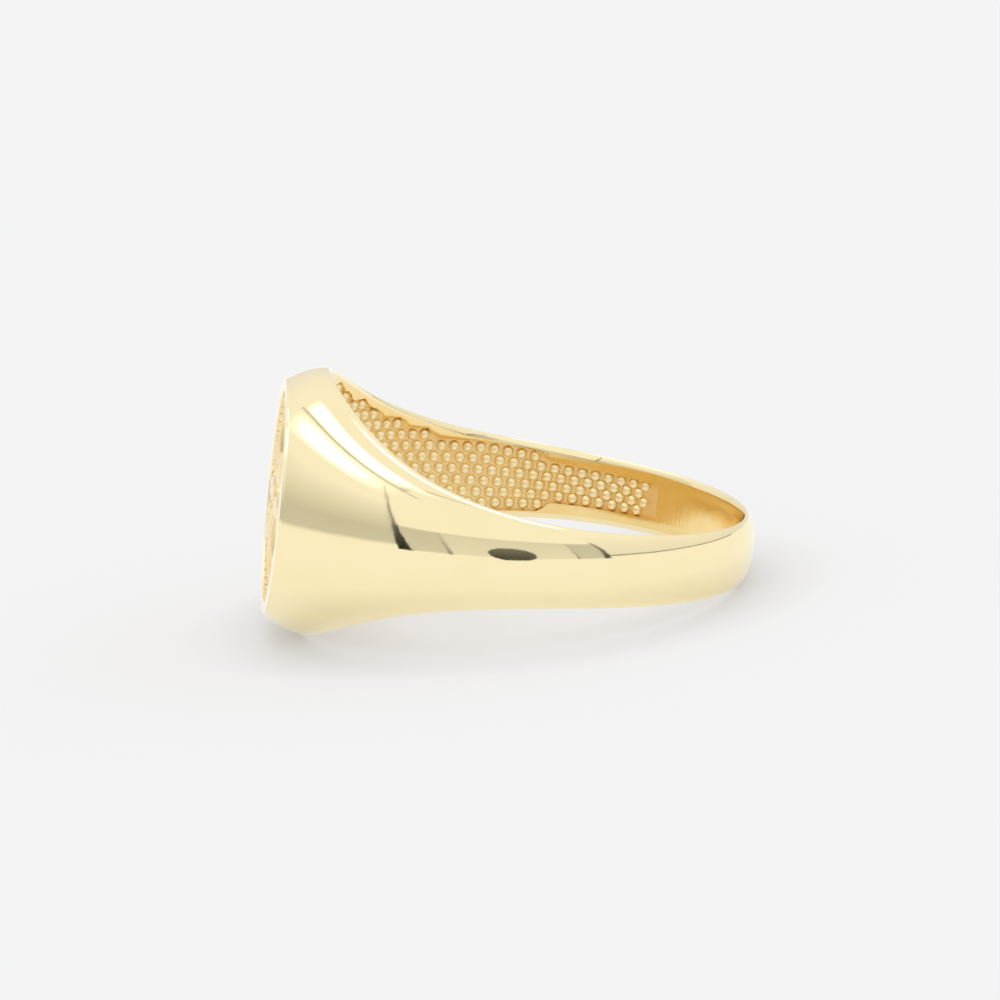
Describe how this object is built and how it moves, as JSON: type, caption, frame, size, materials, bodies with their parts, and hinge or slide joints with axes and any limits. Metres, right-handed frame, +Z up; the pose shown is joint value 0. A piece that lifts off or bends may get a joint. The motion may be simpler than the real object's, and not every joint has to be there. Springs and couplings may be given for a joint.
{
  "type": "signet ring",
  "caption": "Gold signet ring: a flared dome head with a flat round face and raised rosette, tapering to a slim band, with a sunk field of small grains lining the inside.",
  "frame": {"origin": "centre of the finger bore, half way along it", "axes": "the ring lies on its side as it rests on a table: +Z up, the head towards -X, the back of the band towards +X; the bore leans from +Z towards +X by the rest angle"},
  "size_m": [0.0224, 0.021, 0.0116],
  "materials": {
    "polished_gold": "mirror polished yellow gold",
    "satin_gold": "satin yellow gold",
    "relief_gold": "polished yellow gold, tumbled",
    "grain_gold": "bright yellow gold, as cast"
  },
  "bodies": {
    "root": {"head_shell": "polished_gold", "shank_left": "polished_gold", "shank_right": "polished_gold", "face_plate": "satin_gold", "face_wire": "relief_gold", "face_grains": "relief_gold", "face_petals": "relief_gold", "face_boss": "relief_gold", "grain_row_u1": "grain_gold", "grain_row_u2": "grain_gold", "grain_row_u3": "grain_gold", "grain_row_u4": "grain_gold", "grain_row_u5": "grain_gold", "grain_row_u6": "grain_gold", "grain_row_u7": "grain_gold", "grain_row_u8": "grain_gold", "grain_row_u9": "grain_gold", "grain_row_u10": "grain_gold", "grain_row_d1": "grain_gold", "grain_row_d2": "grain_gold", "grain_row_d3": "grain_gold", "grain_row_d4": "grain_gold", "grain_row_d5": "grain_gold", "grain_row_d6": "grain_gold", "grain_row_d7": "grain_gold", "grain_row_d8": "grain_gold", "grain_row_d9": "grain_gold", "grain_row_d10": "grain_gold"}
  },
  "joints": []
}
